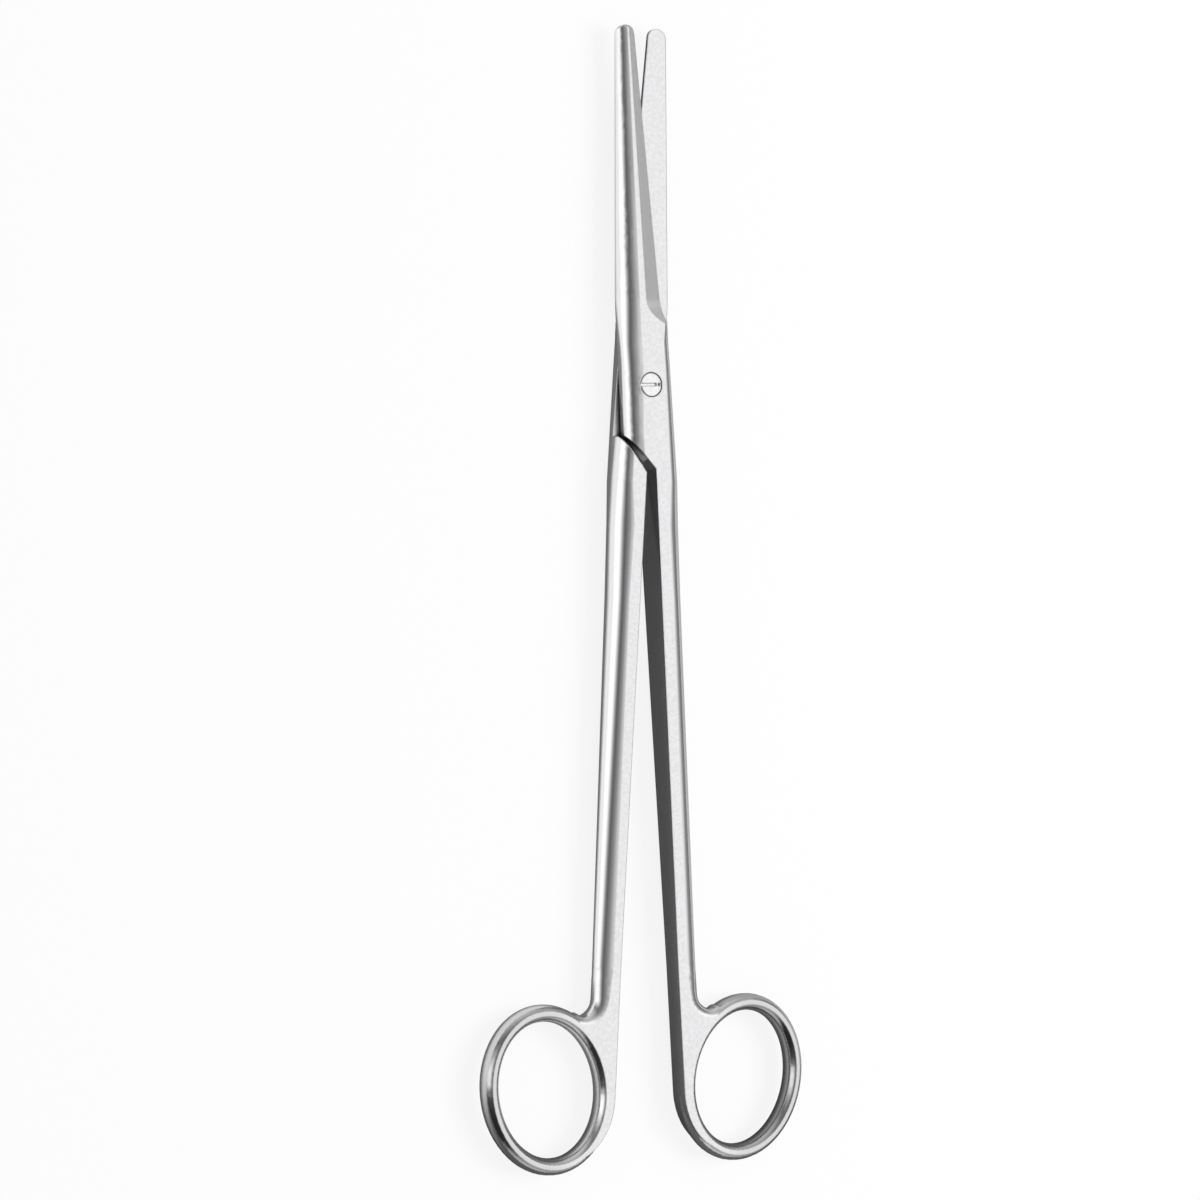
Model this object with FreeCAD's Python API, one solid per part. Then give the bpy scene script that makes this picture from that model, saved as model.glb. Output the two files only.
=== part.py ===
import FreeCAD
import Part
import math
import os

# Long dissecting scissors with a lap joint: two one-piece forged halves and a slotted pivot screw.
# Both halves are the same forging. Each is drawn closed, in its own frame: pivot axis on Z,
# tips towards +Y, finger ring towards -Y, mating plane at Z = 0, and the blade on the upper side.
# The lower half is the same form turned over. Then each half is opened a little, and lifted
# so that the joint's lower face lies on Z = 0. Lengths are in mm and angles in degrees.

# How far each half is turned from closed, as the pair lies at rest
rest_half_opening = 3.2

# Ground thickness of the closed pair, seen from the side
joint_thickness = 7.7
joint_flat_top = 4.0
tip_thickness = 3.4
ring_thickness = 4.7
mating_gap = 0.06

# Blade in plan: spine on the left, cutting edge on the right
tip_y = 72.2
tip_radius = 2.1
tip_edge_rounding = 0.9
tip_spine_width = 1.95
tip_edge_width = 1.95
blade_root_y = 17.0
root_spine_width = 5.2
root_edge_width = 4.75

# The spine's rounding reaches over most of the back, and past the middle at the tip
root_spine_rounding = 4.4
tip_spine_rounding = 2.5

# Cutting edge: a thin land, then a flat bevel that runs out in the grinding wheel's curve
edge_land = 0.8
bevel_angle = 29.5
bevel_end_y = 17.5
bevel_wheel_radius = 8.0
bevel_wheel_turn = 80.0

# Joint in plan, from the blade's root to the shoulder
joint_top_y = 8.0
joint_spine_width = 5.3
joint_spine_rounding = 4.4
joint_spine_drop = 2.4
joint_edge_width = 5.6
joint_edge_rounding = 2.6
foot_y = -9.0
foot_spine_width = 5.6
foot_spine_rounding = 3.9
foot_edge_width = 6.0
foot_edge_rounding = 3.1

# Shoulder of the upper layer and ledge of the lower one, by their distance from the pivot
shoulder_distance = 10.8
shoulder_angle = 49.5
ledge_gap = 0.7
inner_wall_gap = 0.3

# Handle shank: flat inner wall, and a rounding over the whole height outside
neck_length = 2.8
neck_width = 6.3
neck_rounding = 3.5
shank_top_y = -28.0
shank_top_width = 6.2
shank_top_rounding = 4.4
shank_mid_y = -43.0
shank_mid_width = 5.85
shank_mid_rounding = 3.7
shank_end_width = 5.2
shank_end_rounding = 3.9

# Finger ring: an oval tube that leans outwards, ground flat on both faces and on the inner wall
ring_y = -140.0
ring_long_radius = 15.2
ring_short_radius = 12.55
ring_lean = 16.8
ring_tube_width = 3.34
ring_tube_depth = 4.84
ring_wall_grind = 0.05

# Web between shank and ring: its straight length, its fillet and the rounding of its rim
web_straight = 6.3
web_fillet_radius = 3.0
web_start_rounding = 3.2
rim_sink = 0.04
rim_straight_steps = 3
rim_fillet_steps = 4

# Where the square limb below the web has faded into the tube, from the ring's top
limb_end_turn = 170.0
limb_fade_steps = 6

# Pivot screw: flush head, running shoulder, and a shank fixed in the lower half
screw_head_diameter = 4.9
screw_head_height = 1.5
screw_shoulder_diameter = 3.4
screw_shank_diameter = 3.0
screw_end_recess = 0.1
screw_running_gap = 0.04
screw_rim_bevel = 0.2
slot_width = 0.6
slot_depth = 0.4
slot_end_x = 1.2
slot_angle = 3.0
punch_diameter = 0.8
punch_depth = 0.6
punch_margin = 0.6

# Aids to drawing: skim that grinding takes off, least wall of a slice, overlap of joined solids
grinding_skim = 0.03
least_wall = 0.1
overlap = 0.25
reach = 200.0
quarter_round = 0.5523
tolerance = 1e-6

# Working values
Vector = FreeCAD.Vector
ORIGIN = Vector(0, 0, 0)
ACROSS = Vector(1, 0, 0)
LENGTHWISE = Vector(0, 1, 0)
UP = Vector(0, 0, 1)
half_joint = joint_thickness / 2
half_tip = tip_thickness / 2
half_ring = ring_thickness / 2
wall_x = inner_wall_gap / 2
tube_radius = ring_tube_width / 2
lean = math.radians(ring_lean)
ring_axis = Vector(math.sin(lean), math.cos(lean), 0)
ring_side = Vector(-math.cos(lean), math.sin(lean), 0)
ring_half_width = math.hypot(ring_long_radius * ring_axis.x, ring_short_radius * ring_side.x)
ring_centre = Vector(wall_x + ring_half_width + tube_radius - ring_wall_grind, ring_y, 0)


def line(a, b):
    """A straight edge."""
    return Part.makeLine(a, b)


def corner(start, tangent_corner, end):
    """A quarter of an ellipse from start to end, whose end tangents meet at the given corner."""
    first = start + (tangent_corner - start) * quarter_round
    second = end + (tangent_corner - end) * quarter_round
    curve = Part.BezierCurve()
    curve.setPoles([start, first, second, end])
    return curve.toShape()


def prism(points, z_low, z_high):
    """A plan outline of (x, y) corners raised between two heights."""
    corners = [Vector(x, y, z_low) for x, y in points]
    outline = Part.makePolygon(corners + [corners[0]])
    return Part.Face(outline).extrude(UP * (z_high - z_low))


def cylinder(diameter, z_low, z_high):
    """A cylinder on the pivot axis."""
    return Part.makeCylinder(diameter / 2, z_high - z_low, UP * z_low, UP)


def between(first, last, share):
    """The value a share of the way from first to last."""
    return first + (last - first) * share


def shoulder_y(distance, x):
    """Where the shoulder line, at a distance from the pivot, crosses x."""
    slope = math.radians(shoulder_angle)
    return -(distance + x * math.sin(slope)) / math.cos(slope)


def ring_point(turn, offset):
    """A point beside the ring's centre line, and the way outwards there. Turn 0 is the ring's top."""
    angle = math.radians(turn)
    place = ring_centre + ring_axis * (ring_long_radius * math.cos(angle))
    place = place + ring_side * (ring_short_radius * math.sin(angle))
    outward = ring_axis * (ring_short_radius * math.cos(angle))
    outward = outward + ring_side * (ring_long_radius * math.sin(angle))
    outward.normalize()
    return place + outward * offset, outward


def fillet_place():
    """Centre of the web's fillet, which touches shank and ring, and its turn round the ring."""
    wanted = shank_end_width + web_fillet_radius
    near = 0.0
    far = 90.0
    while far - near > tolerance:
        turn = (near + far) / 2
        centre, outward = ring_point(turn, tube_radius - rim_sink + web_fillet_radius)
        if centre.x > wanted:
            near = turn
        else:
            far = turn
    return centre, turn


fillet_centre, fillet_turn = fillet_place()
web_y = fillet_centre.y + web_straight
neck_y = shoulder_y(shoulder_distance, wall_x) - neck_length


def half_thickness(y):
    """Half the ground thickness at a place along the length."""
    if y > joint_flat_top:
        share = (y - joint_flat_top) / (tip_y - joint_flat_top)
        return between(half_joint, half_tip, share)
    if y < neck_y:
        share = (y - neck_y) / (web_y - neck_y)
        return between(half_joint, half_ring, min(1.0, share))
    return half_joint


def ground_slab():
    """The space between the two ground faces, drawn from the side."""
    profile = [
        (tip_y + reach, half_tip),
        (tip_y, half_tip),
        (joint_flat_top, half_joint),
        (neck_y, half_joint),
        (web_y, half_ring),
        (web_y - reach, half_ring),
    ]
    upper = [Vector(-reach, y, z) for y, z in profile]
    lower = [Vector(-reach, y, -z) for y, z in reversed(profile)]
    outline = Part.makePolygon(upper + lower + [upper[0]])
    return Part.Face(outline).extrude(ACROSS * 2 * reach)


def bar_section(y, spine, spine_round, spine_drop, edge, edge_round, edge_drop):
    """A cross-section of the bar: each side has a rounding of its own width and height."""
    top = half_thickness(y) + grinding_skim
    spine_flat = spine_round - spine
    edge_flat = edge - edge_round
    spine_wall = top - spine_drop
    edge_wall = top - edge_drop
    edges = [
        corner(Vector(-spine, y, spine_wall), Vector(-spine, y, top), Vector(spine_flat, y, top)),
        line(Vector(spine_flat, y, top), Vector(edge_flat, y, top)),
        corner(Vector(edge_flat, y, top), Vector(edge, y, top), Vector(edge, y, edge_wall)),
        line(Vector(edge, y, edge_wall), Vector(edge, y, -edge_wall)),
        corner(Vector(edge, y, -edge_wall), Vector(edge, y, -top), Vector(edge_flat, y, -top)),
        line(Vector(edge_flat, y, -top), Vector(spine_flat, y, -top)),
        corner(Vector(spine_flat, y, -top), Vector(-spine, y, -top), Vector(-spine, y, -spine_wall)),
        line(Vector(-spine, y, -spine_wall), Vector(-spine, y, spine_wall)),
    ]
    return Part.Wire(edges)


def blade_section(y):
    """Blade: a full rounding on the spine, and a square side that the bevel cuts later."""
    share = (y - blade_root_y) / (tip_y - blade_root_y)
    spine = between(root_spine_width, tip_spine_width, share)
    edge = between(root_edge_width, tip_edge_width, share)
    rounding = between(root_spine_rounding, tip_spine_rounding, share)
    drop = half_thickness(y) + grinding_skim - least_wall
    return bar_section(y, spine, rounding, drop, edge, least_wall, least_wall)


def joint_section(y, spine, spine_rounding, edge, edge_rounding):
    """Joint: both sides widen towards the handle."""
    return bar_section(y, spine, spine_rounding, joint_spine_drop, edge, edge_rounding, edge_rounding)


def shank_section(y, width, rounding):
    """Shank: the outer side is rounded over its height, and the inner wall is cut later."""
    drop = half_thickness(y) + grinding_skim - least_wall
    return bar_section(y, overlap, least_wall, least_wall, width, rounding, drop)


def bar():
    """Blade, joint and shank as one bar of full thickness, before grinding."""
    joint_sides = (joint_spine_width, joint_spine_rounding, joint_edge_width, joint_edge_rounding)
    sections = [
        blade_section(tip_y),
        blade_section(blade_root_y),
        joint_section(joint_top_y, *joint_sides),
        joint_section(joint_flat_top, *joint_sides),
        joint_section(foot_y, foot_spine_width, foot_spine_rounding, foot_edge_width, foot_edge_rounding),
        joint_section(neck_y, foot_spine_width, foot_spine_rounding, neck_width, neck_rounding),
        shank_section(shank_top_y, shank_top_width, shank_top_rounding),
        shank_section(shank_mid_y, shank_mid_width, shank_mid_rounding),
        shank_section(web_y, shank_end_width, shank_end_rounding),
    ]
    return Part.makeLoft(sections, True, True)


def ring_ellipse():
    """The ring's centre line."""
    top, outward = ring_point(0, 0)
    side, outward = ring_point(90, 0)
    return Part.Ellipse(top, side, ring_centre)


def ring_tube():
    """The finger ring as an oval tube, deeper than the grinding leaves it."""
    path = Part.Wire(ring_ellipse().toShape())
    top, outward = ring_point(0, 0)
    profile = Part.Ellipse(top + UP * (ring_tube_depth / 2), top + outward * tube_radius, top)
    return path.makePipeShell([Part.Wire(profile.toShape())], True, False)


def rim_stations():
    """Places along the web's rim, from the shank round the fillet into the ring's tube."""
    stations = []
    for step in range(rim_straight_steps):
        share = step / rim_straight_steps
        place = Vector(shank_end_width, between(web_y, fillet_centre.y, share), 0)
        stations.append((place, ACROSS, between(shank_end_rounding, web_start_rounding, share)))
    meeting, last_outward = ring_point(fillet_turn, tube_radius)
    whole_turn = last_outward.getAngle(ACROSS)
    for step in range(rim_fillet_steps + 1):
        share = step / rim_fillet_steps
        turn = whole_turn * share
        outward = Vector(math.cos(turn), math.sin(turn), 0)
        place = fillet_centre - outward * web_fillet_radius
        stations.append((place, outward, between(web_start_rounding, tube_radius - rim_sink, share)))
    return stations


def rim_section(place, outward, rounding):
    """A slice across the web's rim: flat inside, rounded outside."""
    top = UP * (half_ring + grinding_skim)
    middle = UP * least_wall
    inner = place - outward * (rounding + overlap)
    flat_end = place - outward * rounding
    edges = [
        line(inner - top, inner + top),
        line(inner + top, flat_end + top),
        corner(flat_end + top, place + top, place + middle),
        line(place + middle, place - middle),
        corner(place - middle, place - top, flat_end - top),
        line(flat_end - top, inner - top),
    ]
    return Part.Wire(edges)


def web_rim():
    """The rounded edge that leads from the shank round the fillet on to the ring."""
    sections = [rim_section(*station) for station in rim_stations()]
    return Part.makeLoft(sections, True, False)


def limb_fade_points():
    """Places from the inner wall's end to the ring's centre line, where the square limb gets narrower."""
    wall_turn = math.atan2(ring_short_radius * ring_axis.y, -ring_long_radius * ring_axis.x)
    points = []
    for step in range(limb_fade_steps + 1):
        share = step / limb_fade_steps
        turn = between(math.degrees(wall_turn), limb_end_turn, share)
        place, outward = ring_point(turn, (tube_radius - ring_wall_grind) * (1 - share ** 2))
        points.append(place)
    return points


def web_plate():
    """The flat web inside the rim, which fades into the tube below the inner wall."""
    height = half_ring + grinding_skim
    fade_points = limb_fade_points()
    wall_end = fade_points[0]
    fade = Part.BSplineCurve()
    fade.interpolate(fade_points)
    centre_line = Part.ArcOfEllipse(ring_ellipse(), math.radians(fillet_turn), math.radians(limb_end_turn))
    near_ring, outward = ring_point(fillet_turn, 0)
    inside = [place - outward * (rounding + overlap / 2) for place, outward, rounding in rim_stations()]
    inside[-1] = near_ring
    rim_side = Part.BSplineCurve()
    rim_side.interpolate(inside)
    corners = [
        inside[0],
        Vector(wall_x - overlap, web_y, 0),
        Vector(wall_x - overlap, wall_end.y, 0),
        wall_end,
    ]
    edges = [line(a, b) for a, b in zip(corners, corners[1:])]
    curves = [fade.toShape(), centre_line.toShape(), rim_side.toShape()]
    plate = Part.Face(Part.Wire(Part.sortEdges(edges + curves)[0]))
    plate.translate(UP * -height)
    return plate.extrude(UP * 2 * height)


def far_side():
    """What the upper layer gives up: the space past the shoulder and past the inner wall."""
    points = [
        (wall_x, shoulder_y(shoulder_distance, wall_x)),
        (-reach, shoulder_y(shoulder_distance, -reach)),
        (-reach, -2 * reach),
        (wall_x, -2 * reach),
    ]
    return prism(points, -reach, reach)


def other_layer():
    """What the lower layer gives up: room for the other half's joint, as far as the ledge."""
    distance = shoulder_distance + ledge_gap
    points = [
        (-reach, shoulder_y(distance, reach)),
        (reach, shoulder_y(distance, -reach)),
        (reach, 2 * reach),
        (-reach, 2 * reach),
    ]
    return prism(points, -reach, mating_gap / 2)


def bevel_cutter():
    """The grinding wheel's space: flat along the cutting edge, then curved out of the blade."""
    narrowing = (tip_edge_width - root_edge_width) / (tip_y - blade_root_y)
    edge_x = root_edge_width + narrowing * (bevel_end_y - blade_root_y)
    along = Vector(narrowing, 1, 0).normalize()
    inward = Vector(-1, narrowing, 0).normalize()
    slope = math.radians(bevel_angle)
    rising = inward * math.cos(slope) + UP * math.sin(slope)
    normal = along.cross(rising)
    start = Vector(edge_x, bevel_end_y, edge_land)
    turn = math.radians(bevel_wheel_turn)
    wheel_centre = start + normal * bevel_wheel_radius
    middle = wheel_centre - (normal * math.cos(turn / 2) + along * math.sin(turn / 2)) * bevel_wheel_radius
    end = wheel_centre - (normal * math.cos(turn) + along * math.sin(turn)) * bevel_wheel_radius
    far = start + along * reach
    edges = [
        line(far, start),
        Part.Arc(start, middle, end).toShape(),
        line(end, end + normal * reach),
        line(end + normal * reach, far + normal * reach),
        line(far + normal * reach, far),
    ]
    face = Part.Face(Part.Wire(edges))
    face.translate(rising * -reach)
    return face.extrude(rising * 2 * reach)


def tip_cutter():
    """What is cut away to round the tip, in plan and over its top edge."""
    centre_y = tip_y - tip_radius
    height = half_thickness(centre_y) + grinding_skim
    points = [(-reach, centre_y), (reach, centre_y), (reach, reach), (-reach, reach)]
    nose = Part.makeCylinder(tip_radius, reach + height, Vector(0, centre_y, -reach), UP)
    top_edge = [edge for edge in nose.Edges if edge.CenterOfMass.z > 0 and edge.isClosed()]
    nose = nose.makeFillet(tip_edge_rounding, top_edge)
    return prism(points, -reach, reach).cut(nose)


def half():
    """One forged half, closed, with its mating face at Z = 0."""
    solid = web_plate().fuse(web_rim())
    solid = solid.fuse(ring_tube())
    solid = solid.fuse(bar())
    solid = solid.common(ground_slab())
    for cutter in (far_side(), other_layer(), bevel_cutter(), tip_cutter()):
        solid = solid.cut(cutter)
    return solid.removeSplitter().Solids[0]


def upper_half():
    """The half whose joint layer holds the screw's head."""
    solid = half()
    solid.rotate(ORIGIN, UP, rest_half_opening)
    solid.translate(UP * half_joint)
    counterbore = screw_head_diameter + 2 * screw_running_gap
    bore = screw_shoulder_diameter + 2 * screw_running_gap
    floor_z = joint_thickness - screw_head_height - screw_running_gap
    solid = solid.cut(cylinder(counterbore, floor_z, reach))
    return solid.cut(cylinder(bore, 0, reach))


def lower_half():
    """The other half, turned over, with the hole that the screw is fixed in."""
    solid = half()
    solid.rotate(ORIGIN, LENGTHWISE, 180)
    solid.rotate(ORIGIN, UP, -rest_half_opening)
    solid.translate(UP * half_joint)
    return solid.cut(cylinder(screw_shank_diameter, -reach, reach))


def pivot_screw():
    """Flush slotted screw with a punch mark past its slot's end."""
    head_radius = screw_head_diameter / 2
    head_z = joint_thickness - screw_head_height
    screw = cylinder(screw_head_diameter, head_z, joint_thickness)
    rim = [edge for edge in screw.Edges if edge.CenterOfMass.z > joint_thickness - tolerance]
    screw = screw.makeChamfer(screw_rim_bevel, rim)
    screw = screw.fuse(cylinder(screw_shoulder_diameter, half_joint, head_z + overlap))
    screw = screw.fuse(cylinder(screw_shank_diameter, screw_end_recess, half_joint + overlap))
    slot = Part.makeBox(reach, slot_width, reach)
    slot.translate(Vector(slot_end_x - reach, -slot_width / 2, joint_thickness - slot_depth))
    punch_centre = Vector(head_radius - punch_margin, 0, joint_thickness - punch_depth)
    punch = Part.makeCone(0, punch_diameter / 2, punch_depth, punch_centre, UP)
    for mark in (slot, punch):
        mark.rotate(ORIGIN, UP, slot_angle)
        screw = screw.cut(mark)
    return screw.removeSplitter()


def main():
    """Make every piece and write it out."""
    os.makedirs("parts", exist_ok=True)
    pieces = {
        "upper_half": upper_half(),
        "lower_half": lower_half(),
        "pivot_screw": pivot_screw(),
    }
    for name, shape in pieces.items():
        shape.exportStep("parts/" + name + ".step")
        print(name, shape.isValid(), len(shape.Solids), round(shape.Volume, 1))


main()
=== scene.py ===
import math

import bpy
from mathutils import Matrix, Vector

# The fixed frame
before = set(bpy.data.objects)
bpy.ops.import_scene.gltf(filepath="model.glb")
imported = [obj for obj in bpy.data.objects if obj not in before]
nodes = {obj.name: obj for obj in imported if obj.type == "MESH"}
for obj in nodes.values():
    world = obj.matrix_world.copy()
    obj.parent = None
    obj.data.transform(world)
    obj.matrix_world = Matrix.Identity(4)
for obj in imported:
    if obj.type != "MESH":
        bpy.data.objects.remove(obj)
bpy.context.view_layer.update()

# Camera, in degrees, metres and millimetres of lens and sensor
camera_turn = 30.0
camera_tilt = -1.371
camera_roll = 0.206
camera_distance = 0.6949
camera_left = 0.00833
camera_below = 0.04279
camera_lens = 104.24
camera_sensor = 36.0
pivot_height = 0.00385

white = (1.0, 1.0, 1.0)

# Floor: a grey sheet that the lamp lights, lifted to white for the camera
floor_size = 40.0
floor_drop = 0.0001
floor_tone = 0.14
floor_lift = 0.86

# Painted reflection: the lift that metal sees is set by the place across, times its share by the place
# along.
# Close to the object little of it is left, as painted shade.
painted_reflection_across = (
    (-0.2, 0.86),
    (-0.05, 1.0),
    (-0.006, 1.0),
    (-0.003, 0.3),
    (0.01, 0.3),
    (0.02, 0.45),
    (0.08, 0.45),
    (0.2, 0.86),
)
painted_reflection_along = ((-1.0, 1.0), (-0.5, 0.03), (-0.154, 0.03), (-0.136, 1.0), (1.0, 1.0))
shade_reach = 0.014
shade_deep = 0.75
shade_clear = 0.9
shade_least = 0.15

# Light: an even world and one large lamp
world_level = 0.5
lamp_power = 6.4
lamp_size = 0.6
lamp_distance = 1.0
lamp_lean = 40.0

# The studio that metal reflects. Across the object: two soft boxes and the dark gap between them,
# by the angle from straight up towards the left.
strip_tones = (
    (-90.0, 0.15),
    (-64.0, 0.35),
    (-52.0, 1.3),
    (-24.0, 1.3),
    (-12.0, 0.8),
    (-4.0, 0.55),
    (6.0, 0.34),
    (16.0, 0.22),
    (26.0, 0.12),
    (34.0, 0.28),
    (44.0, 0.75),
    (54.0, 1.4),
    (90.0, 1.4),
)

# Along the object, by the direction's part towards the tips: what lies past the soft boxes' ends,
# and how far the boxes reach, on the left and on the right
left_tones = (
    (-1.0, 0.8),
    (-0.92, 0.6),
    (-0.8, 0.03),
    (-0.5, 0.03),
    (-0.3, 0.07),
    (0.0, 0.3),
    (0.6, 0.2),
    (0.87, 0.6),
    (1.0, 0.8),
)
right_tones = ((-1.0, 0.8), (-0.9, 0.5), (-0.6, 0.45), (0.0, 0.6), (0.6, 0.45), (0.87, 0.6), (1.0, 0.8))
left_reach = ((-1.0, 0.0), (-0.2, 0.0), (-0.04, 1.0), (0.18, 1.0), (0.4, 0.35), (0.6, 0.0), (1.0, 0.0))
right_reach = ((-1.0, 0.0), (-0.7, 0.0), (-0.3, 1.0), (0.45, 1.0), (0.8, 0.0), (1.0, 0.0))

# Where the left side of the studio passes into the right one, by the direction's part to the right
side_start = -0.35
side_end = 0.15

# Steel: its colours, and its roughness where it is ground, where it is polished and on the screw
steel_colour = (0.74, 0.74, 0.75)
screw_colour = (0.8, 0.8, 0.81)
worn_colour = (0.82, 0.82, 0.83)
# Painted shade: the dark colours put into crevices and where parts meet, on the blades and on the screw
blade_shade_paint = (0.1, 0.1, 0.1)
screw_shade_paint = (0.5, 0.49, 0.48)
satin_roughness = 0.3
polished_roughness = 0.15
screw_roughness = 0.4
roughness_spread = 0.04

# Ground faces, by the upright part of their normal, and the polished rings, by their place
flat_start = 0.975
flat_full = 0.998
ring_start_y = -0.117
ring_fade = 0.006
ring_inner_x = 0.012
ring_outer_x = 0.026
# Painted shade: the factor that darkens the rings' steel colour
ring_painted_shade = 0.74

# Mottle, satin grain and polishing marks
mottle_scale = 1500.0
mottle_detail = 3.0
mottle_pale = 0.7
mottle_dark = 0.3
mottle_depth = 0.12
grain_scale = 6000.0
grain_height = 0.000004
brush_scale = 7000.0
brush_stretch = 0.03
brush_height = 0.000002

# Wear at the edges, by how far the rounded normal turns, and painted shade in the crevices and where parts
# meet
edge_radius = 0.0003
edge_samples = 4
wear_start = 0.995
wear_full = 0.9
blade_crevice = 0.002
screw_crevice = 0.0003
shade_paint_full = 0.45
shade_paint_end = 0.8


def add(tree, kind, **values):
    """Adds a shader node and sets its properties."""
    made = tree.nodes.new(kind)
    for name, value in values.items():
        setattr(made, name, value)
    return made


def feed(tree, socket, value):
    """Gives an input a number, a colour or another node's output."""
    if isinstance(value, bpy.types.NodeSocket):
        tree.links.new(value, socket)
    else:
        socket.default_value = value


def maths(tree, operation, first, second=0.0, clamp=False):
    """Adds a Math node and gives its output."""
    made = add(tree, "ShaderNodeMath", operation=operation, use_clamp=clamp)
    feed(tree, made.inputs[0], first)
    feed(tree, made.inputs[1], second)
    return made.outputs[0]


def remap(tree, value, low, high, start=0.0, end=1.0):
    """Turns a value between low and high into one between start and end, with soft ends."""
    made = add(tree, "ShaderNodeMapRange", interpolation_type="SMOOTHSTEP")
    feed(tree, made.inputs["Value"], value)
    feed(tree, made.inputs["From Min"], low)
    feed(tree, made.inputs["From Max"], high)
    feed(tree, made.inputs["To Min"], start)
    feed(tree, made.inputs["To Max"], end)
    return made.outputs["Result"]


def blend_colours(tree, share, first, second):
    """Mixes two colours and gives the result."""
    made = add(tree, "ShaderNodeMix", data_type="RGBA")
    colours = [socket for socket in made.inputs if socket.type == "RGBA"]
    feed(tree, made.inputs["Factor"], share)
    feed(tree, colours[0], first)
    feed(tree, colours[1], second)
    return [socket for socket in made.outputs if socket.type == "RGBA"][0]


def ramp(tree, value, tones):
    """Looks a value up in a list of (value, tone), with straight runs between."""
    low = tones[0][0]
    high = tones[-1][0]
    share = maths(tree, "DIVIDE", maths(tree, "SUBTRACT", value, low), high - low, clamp=True)
    made = add(tree, "ShaderNodeValToRGB")
    feed(tree, made.inputs["Fac"], share)
    stops = made.color_ramp.elements
    for place, tone in tones[1:-1]:
        stops.new((place - low) / (high - low))
    for stop, (place, tone) in zip(stops, tones):
        stop.color = opaque((tone, tone, tone))
    return made.outputs["Color"]


def noise(tree, place, scale, stretch=(1.0, 1.0, 1.0), detail=2.0):
    """A noise whose features are about one part in scale of a metre, stretched along the axes."""
    mapping = add(tree, "ShaderNodeMapping")
    feed(tree, mapping.inputs["Vector"], place)
    feed(tree, mapping.inputs["Scale"], stretch)
    made = add(tree, "ShaderNodeTexNoise")
    feed(tree, made.inputs["Vector"], mapping.outputs[0])
    feed(tree, made.inputs["Scale"], scale)
    feed(tree, made.inputs["Detail"], detail)
    return made.outputs["Fac"]


def opaque(colour):
    """The colour with full alpha."""
    return (*colour, 1.0)


# Camera
def look_from():
    """The camera's place and turn, from its angles about the pivot."""
    turn = Matrix.Rotation(math.radians(camera_turn), 3, "Y")
    tilt = Matrix.Rotation(math.radians(camera_tilt), 3, "X")
    roll = Matrix.Rotation(math.radians(camera_roll), 3, "Z")
    axes = roll @ tilt @ turn
    right, up, back = axes[0], axes[1], axes[2]
    place = Vector((0, 0, pivot_height)) - camera_left * right - camera_below * up + camera_distance * back
    return Matrix.Translation(place) @ axes.transposed().to_4x4()


def make_camera():
    """The camera at the photograph's viewpoint."""
    data = bpy.data.cameras.new("camera")
    data.lens = camera_lens
    data.sensor_width = camera_sensor
    camera = bpy.data.objects.new("camera", data)
    bpy.context.scene.collection.objects.link(camera)
    camera.matrix_world = look_from()
    bpy.context.scene.camera = camera


# Floor and light
def floor_material():
    """A pale sheet: white to the camera; to metal it shows a painted reflection set by place, with painted
    shade under and near the object.
    """
    material = bpy.data.materials.new("floor_paper")
    material.use_nodes = True
    tree = material.node_tree
    tree.nodes.clear()
    sheet = add(tree, "ShaderNodeBsdfDiffuse")
    sheet.inputs["Color"].default_value = opaque((floor_tone, floor_tone, floor_tone))
    rays = add(tree, "ShaderNodeLightPath")
    near = add(tree, "ShaderNodeAmbientOcclusion")
    near.inputs["Distance"].default_value = shade_reach
    # Painted shade: the lift that metal sees fades near the object, by ambient occlusion
    open_floor = remap(tree, near.outputs["AO"], shade_deep, shade_clear, start=shade_least)
    place = add(tree, "ShaderNodeSeparateXYZ")
    feed(tree, place.inputs[0], add(tree, "ShaderNodeNewGeometry").outputs["Position"])
    # Painted reflection: the tones that metal sees, set by place on the floor
    lift_map = maths(
        tree,
        "MULTIPLY",
        ramp(tree, place.outputs["X"], painted_reflection_across),
        ramp(tree, place.outputs["Y"], painted_reflection_along),
    )
    reflected = maths(tree, "MULTIPLY", open_floor, lift_map)
    seen = maths(tree, "MULTIPLY", rays.outputs["Is Camera Ray"], floor_lift)
    mirrored = maths(tree, "MULTIPLY", rays.outputs["Is Glossy Ray"], reflected)
    through = maths(tree, "MULTIPLY", rays.outputs["Is Transmission Ray"], floor_lift)
    strength = maths(tree, "ADD", maths(tree, "ADD", seen, mirrored), through)
    lift = add(tree, "ShaderNodeEmission")
    feed(tree, lift.inputs["Strength"], strength)
    both = add(tree, "ShaderNodeAddShader")
    feed(tree, both.inputs[0], sheet.outputs[0])
    feed(tree, both.inputs[1], lift.outputs[0])
    output = add(tree, "ShaderNodeOutputMaterial")
    feed(tree, output.inputs["Surface"], both.outputs[0])
    return material


def make_floor():
    """The floor just under the resting face."""
    half = floor_size / 2
    corners = [
        (-half, -half, -floor_drop),
        (half, -half, -floor_drop),
        (half, half, -floor_drop),
        (-half, half, -floor_drop),
    ]
    mesh = bpy.data.meshes.new("floor")
    mesh.from_pydata(corners, [], [(0, 1, 2, 3)])
    mesh.materials.append(floor_material())
    floor = bpy.data.objects.new("floor", mesh)
    bpy.context.scene.collection.objects.link(floor)


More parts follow.
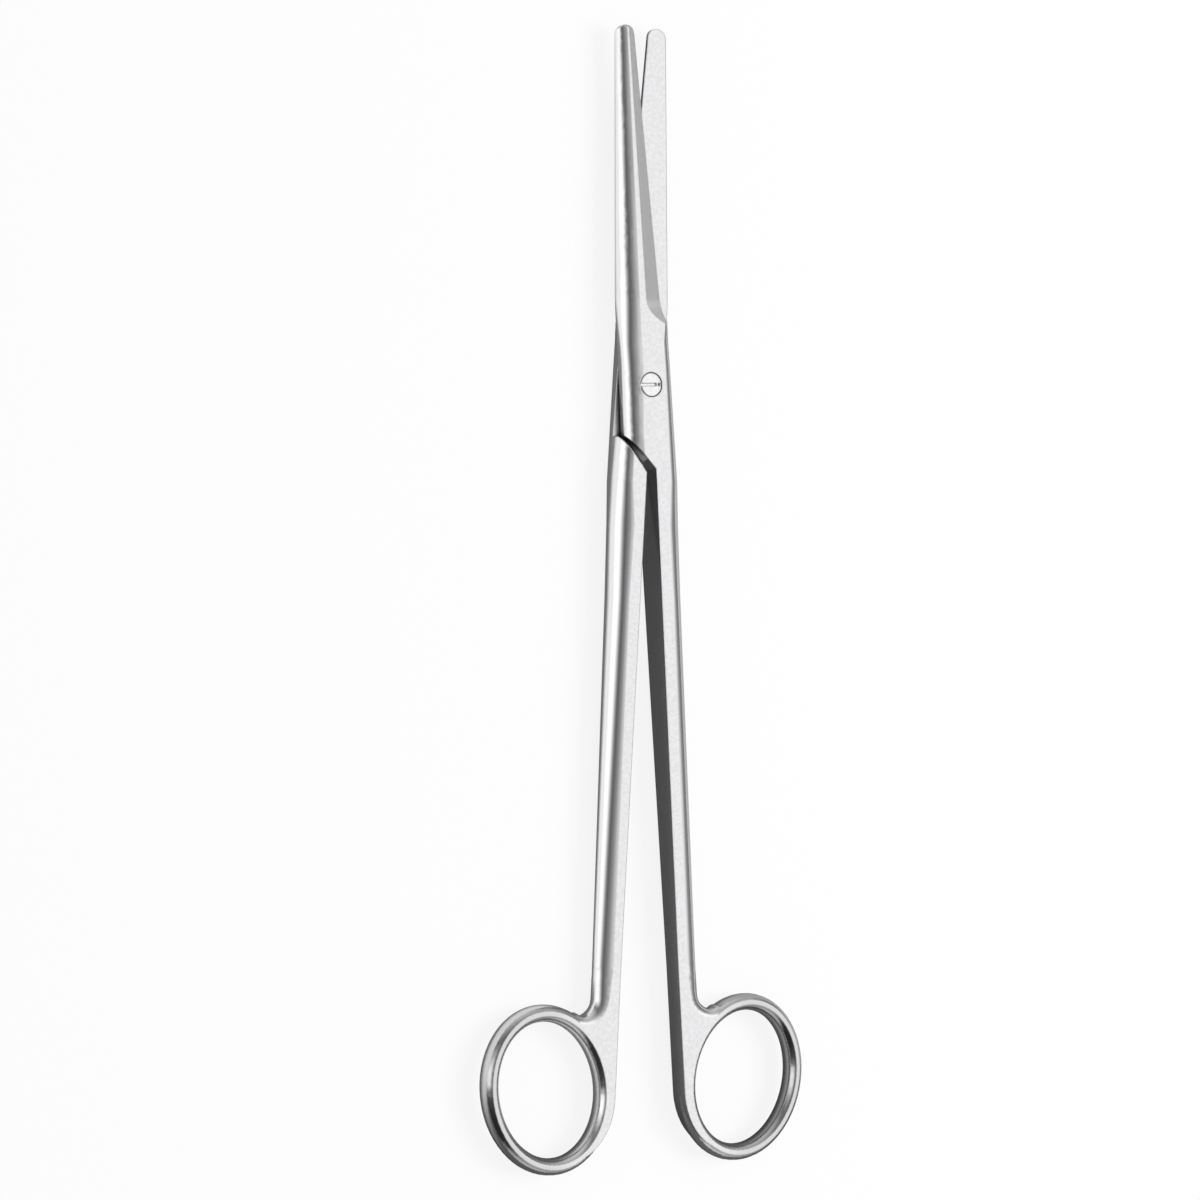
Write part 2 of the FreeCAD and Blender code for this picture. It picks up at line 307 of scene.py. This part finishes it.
def make_world():
    """Lights everything evenly, and gives metal a studio of soft lights and darker gaps to reflect."""
    world = bpy.data.worlds.new("studio")
    bpy.context.scene.world = world
    world.use_nodes = True
    tree = world.node_tree
    parts = add(tree, "ShaderNodeSeparateXYZ")
    feed(tree, parts.inputs[0], add(tree, "ShaderNodeTexCoord").outputs["Generated"])
    leaning = maths(tree, "MULTIPLY", parts.outputs["X"], -1.0)
    angle = maths(tree, "ARCTAN2", leaning, parts.outputs["Z"])
    strip = ramp(tree, maths(tree, "DEGREES", angle), strip_tones)
    along = parts.outputs["Y"]
    left = blend_colours(tree, ramp(tree, along, left_reach), ramp(tree, along, left_tones), strip)
    right = blend_colours(tree, ramp(tree, along, right_reach), ramp(tree, along, right_tones), strip)
    side = remap(tree, parts.outputs["X"], side_start, side_end)
    rays = add(tree, "ShaderNodeLightPath")
    level = opaque((world_level, world_level, world_level))
    studio = blend_colours(tree, side, left, right)
    lit = blend_colours(tree, rays.outputs["Is Glossy Ray"], level, studio)
    shown = blend_colours(tree, rays.outputs["Is Camera Ray"], lit, opaque(white))
    feed(tree, tree.nodes["Background"].inputs["Color"], shown)


def make_lamp():
    """One large soft lamp above, on the right."""
    data = bpy.data.lights.new("soft_box", "AREA")
    data.energy = lamp_power
    data.size = lamp_size
    lamp = bpy.data.objects.new("soft_box", data)
    bpy.context.scene.collection.objects.link(lamp)
    lean = math.radians(lamp_lean)
    lamp.location = (lamp_distance * math.sin(lean), 0.0, lamp_distance * math.cos(lean))
    lamp.rotation_euler = (0.0, lean, 0.0)
    lamp.visible_glossy = False


# Materials
def steel(name, colour, painted_shade_colour, crevice_reach, polished):
    """Stainless steel: satin where it is ground flat, polished on the roundings, bright at worn edges."""
    material = bpy.data.materials.new(name)
    material.use_nodes = True
    tree = material.node_tree
    shader = tree.nodes["Principled BSDF"]
    shader.inputs["Metallic"].default_value = 1.0
    coordinates = add(tree, "ShaderNodeTexCoord")
    place = coordinates.outputs["Object"]
    facing = add(tree, "ShaderNodeSeparateXYZ")
    feed(tree, facing.inputs[0], coordinates.outputs["Normal"])
    where = add(tree, "ShaderNodeSeparateXYZ")
    feed(tree, where.inputs[0], place)
    upright = maths(tree, "ABSOLUTE", facing.outputs["Z"])
    flat = remap(tree, upright, flat_start, flat_full)
    below = remap(tree, where.outputs["Y"], ring_start_y, ring_start_y - ring_fade)
    aside = remap(tree, maths(tree, "ABSOLUTE", where.outputs["X"]), ring_inner_x, ring_outer_x)
    on_ring = maths(tree, "MULTIPLY", below, aside)
    ground = maths(tree, "MULTIPLY", flat, maths(tree, "SUBTRACT", 1.0, on_ring))

    # Texture: a soft mottle, a fine satin grain, and polishing marks along the length
    mottle = noise(tree, place, mottle_scale, detail=mottle_detail)
    grain = noise(tree, place, grain_scale)
    brushed = noise(tree, place, brush_scale, stretch=(1.0, brush_stretch, 1.0))

    # Roughness
    base = remap(tree, ground, 0.0, 1.0, start=polished, end=satin_roughness)
    spread = maths(tree, "MULTIPLY", maths(tree, "SUBTRACT", mottle, 0.5), 2 * roughness_spread)
    feed(tree, shader.inputs["Roughness"], maths(tree, "ADD", base, spread, clamp=True))

    # Colour: mottled, brighter at the edges, darker on the rings as painted shade, and dark with painted
    # shade in the crevices and where parts meet
    edge = add(tree, "ShaderNodeBevel")
    edge.samples = edge_samples
    edge.inputs["Radius"].default_value = edge_radius
    turned = add(tree, "ShaderNodeVectorMath", operation="DOT_PRODUCT")
    feed(tree, turned.inputs[0], edge.outputs["Normal"])
    feed(tree, turned.inputs[1], add(tree, "ShaderNodeNewGeometry").outputs["Normal"])
    worn = remap(tree, turned.outputs["Value"], wear_start, wear_full)
    mottling = remap(tree, mottle, mottle_pale, mottle_dark, end=mottle_depth)
    darker = maths(tree, "MULTIPLY", mottling, ground)
    # The rings' colour is darkened here as painted shade; the mottle is the steel's own tone
    shade = maths(tree, "SUBTRACT", remap(tree, on_ring, 0.0, 1.0, start=1.0, end=ring_painted_shade), darker)
    tint = add(tree, "ShaderNodeVectorMath", operation="SCALE")
    tint.inputs[0].default_value = colour
    feed(tree, tint.inputs["Scale"], shade)
    plain = blend_colours(tree, worn, tint.outputs[0], opaque(worn_colour))
    # Painted shade: the colour goes dark where ambient occlusion finds crevices and nearby parts
    hollow = add(tree, "ShaderNodeAmbientOcclusion")
    hollow.inputs["Distance"].default_value = crevice_reach
    unshaded_share = remap(tree, hollow.outputs["AO"], shade_paint_full, shade_paint_end)
    feed(tree, shader.inputs["Base Color"], blend_colours(tree, unshaded_share, opaque(painted_shade_colour), plain))

    # Relief
    satin = add(tree, "ShaderNodeBump")
    satin.inputs["Distance"].default_value = grain_height
    feed(tree, satin.inputs["Strength"], ground)
    feed(tree, satin.inputs["Height"], grain)
    feed(tree, satin.inputs["Normal"], edge.outputs["Normal"])
    marks = add(tree, "ShaderNodeBump")
    marks.inputs["Distance"].default_value = brush_height
    feed(tree, marks.inputs["Height"], brushed)
    feed(tree, marks.inputs["Normal"], satin.outputs["Normal"])
    feed(tree, shader.inputs["Normal"], marks.outputs["Normal"])
    return material


def dress():
    """Gives every node its material."""
    blade = steel("blade_steel_looks", steel_colour, blade_shade_paint, blade_crevice, polished_roughness)
    screw = steel("screw_steel_looks", screw_colour, screw_shade_paint, screw_crevice, screw_roughness)
    for name, material in (("upper_half", blade), ("lower_half", blade), ("pivot_screw", screw)):
        nodes[name].data.materials[0] = material


make_camera()
make_floor()
make_world()
make_lamp()
dress()
bpy.context.scene.view_settings.view_transform = "Standard"
